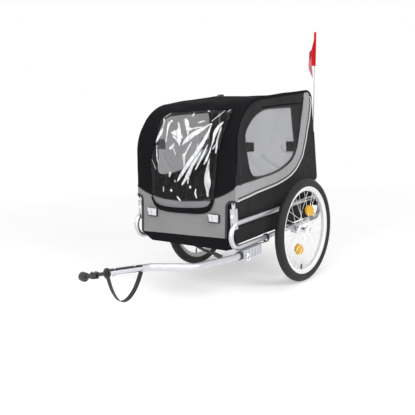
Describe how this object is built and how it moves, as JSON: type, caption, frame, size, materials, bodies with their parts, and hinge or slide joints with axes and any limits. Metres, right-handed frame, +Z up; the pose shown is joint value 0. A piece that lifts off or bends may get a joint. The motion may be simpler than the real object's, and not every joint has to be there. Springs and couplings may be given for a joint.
{
  "type": "dog bike trailer",
  "caption": "Two-wheeled dog trailer for a bicycle: fabric cabin with mesh windows and a clear front cover on folding side frames, with a bent tow bar and hitch eye.",
  "frame": {"origin": "middle of the trailer's footprint, on the ground", "axes": "+X to the trailer's left, -Y the way it is towed, +Z up"},
  "size_m": [0.7426, 1.5416, 1.1932],
  "materials": {
    "zinc": "bright zinc-plated steel tube",
    "chrome": "bright plated steel",
    "tyre": "matt black rubber",
    "rim": "white gloss moulded rim",
    "black_cloth": "black coated woven polyester",
    "grey_cloth": "grey coated woven polyester",
    "mesh": "fine light grey mesh",
    "clear": "clear soft sheet",
    "black_plastic": "black moulded plastic",
    "white_lens": "white reflector lens",
    "amber_lens": "amber reflector lens",
    "board": "black stiffener board",
    "pole": "white fibre rod",
    "red_cloth": "red woven pennant"
  },
  "bodies": {
    "chassis": {"left_side_loop": "zinc", "right_side_loop": "zinc", "front_cross_tube": "zinc", "axle_beam": "zinc", "rear_cross_tube": "zinc", "axle_brackets": "zinc", "floor_board": "board", "hinge_brackets": "zinc", "hinge_pins": "chrome", "left_axle": "chrome", "right_axle": "chrome", "tow_receiver": "zinc", "receiver_bush": "black_plastic", "tow_bar": "zinc", "hitch_arm": "zinc", "hitch_flange": "black_plastic", "hitch_bolts": "chrome", "safety_strap": "black_cloth", "tether_strap": "black_cloth", "tether_clip": "black_plastic", "flag_socket": "black_plastic", "front_reflectors": "white_lens", "front_tub_panel": "grey_cloth", "rear_tub_panel": "black_cloth", "left_tub_side": "black_cloth", "right_tub_side": "black_cloth", "left_side_panel": "black_cloth", "right_side_panel": "black_cloth", "side_windows": "mesh", "front_panel": "black_cloth", "roof_panel": "black_cloth", "rear_panel": "black_cloth"},
    "left_frame": {"left_side_frame": "zinc"},
    "right_frame": {"right_side_frame": "zinc"},
    "roof_bars": {"roof_bars": "zinc"},
    "front_cover": {"front_cover": "black_cloth", "front_window": "clear"},
    "rear_door": {"rear_door": "black_cloth"},
    "lock_pin": {"lock_pin": "chrome"},
    "hitch_swivel": {"hitch_swivel": "black_plastic", "hitch_pin": "chrome"},
    "hitch_eye": {"hitch_eye": "black_plastic"},
    "flag": {"flag_pole": "pole", "flag": "red_cloth"},
    "left_wheel": {"left_tyre": "tyre", "left_rim": "rim", "left_spokes": "chrome", "left_hub": "chrome", "left_bearings": "chrome", "left_wheel_reflectors": "amber_lens", "left_valve": "black_plastic"},
    "left_button": {"left_axle_button": "chrome"},
    "right_wheel": {"right_tyre": "tyre", "right_rim": "rim", "right_spokes": "chrome", "right_hub": "chrome", "right_bearings": "chrome", "right_wheel_reflectors": "amber_lens", "right_valve": "black_plastic"},
    "right_button": {"right_axle_button": "chrome"}
  },
  "joints": [
    {"name": "left_wheel_spin", "type": "hinge", "parent": "chassis", "child": "left_wheel", "pos_m": [0.325, 0.45242, 0.25], "axis": [1, 0, 0], "continuous": true},
    {"name": "left_button_press", "type": "slide", "parent": "chassis", "child": "left_button", "axis": [-1, 0, 0], "range_m": [0, 0.004], "stiffness_N_per_m": 800},
    {"name": "right_wheel_spin", "type": "hinge", "parent": "chassis", "child": "right_wheel", "pos_m": [-0.325, 0.45242, 0.25], "axis": [1, 0, 0], "continuous": true},
    {"name": "right_button_press", "type": "slide", "parent": "chassis", "child": "right_button", "axis": [1, 0, 0], "range_m": [0, 0.004], "stiffness_N_per_m": 800},
    {"name": "left_frame_fold", "type": "hinge", "parent": "chassis", "child": "left_frame", "pos_m": [0.2657, 0.45242, 0.408], "axis": [0, -1, 0], "range_deg": [0, 86], "deforming": ["left_side_panel", "right_side_panel", "side_windows", "front_panel", "roof_panel", "rear_panel", "front_cover", "front_window", "rear_door"]},
    {"name": "right_frame_fold", "type": "hinge", "parent": "chassis", "child": "right_frame", "pos_m": [-0.2657, 0.45242, 0.408], "axis": [0, 1, 0], "range_deg": [0, 94.1]},
    {"name": "roof_bars_drop", "type": "slide", "parent": "chassis", "child": "roof_bars", "axis": [0, 0, -1], "range_m": [0, 0.521]},
    {"name": "front_cover_open", "type": "hinge", "parent": "chassis", "child": "front_cover", "pos_m": [0, 0.04142, 0.85], "axis": [1, 0, 0], "range_deg": [-115, 0]},
    {"name": "rear_door_open", "type": "hinge", "parent": "chassis", "child": "rear_door", "pos_m": [0, 0.68872, 0.47], "axis": [1, 0, 0], "range_deg": [-150, 0]},
    {"name": "lock_pin_pull", "type": "slide", "parent": "chassis", "child": "lock_pin", "axis": [1, 0, 0], "range_m": [0, 0.045]},
    {"name": "hitch_swivel_turn", "type": "hinge", "parent": "chassis", "child": "hitch_swivel", "pos_m": [0.149, -0.45458, 0.275], "axis": [-0.145, -0.9823, 0.1187], "range_deg": [-170, 170]},
    {"name": "hitch_eye_yaw", "type": "hinge", "parent": "hitch_swivel", "child": "hitch_eye", "pos_m": [0.111, -0.71194, 0.30609], "axis": [0.0173, 0.1174, 0.9929], "range_deg": [-60, 60]},
    {"name": "flag_lift", "type": "slide", "parent": "chassis", "child": "flag", "axis": [0, 0.0732, 0.9973], "range_m": [0, 0.095]}
  ],
  "couplings": [
    {"joint": "right_frame_fold", "follows": "left_frame_fold", "ratio": 1.093},
    {"joint": "roof_bars_drop", "follows": "left_frame_fold", "m_per_rad": 0.34644}
  ]
}
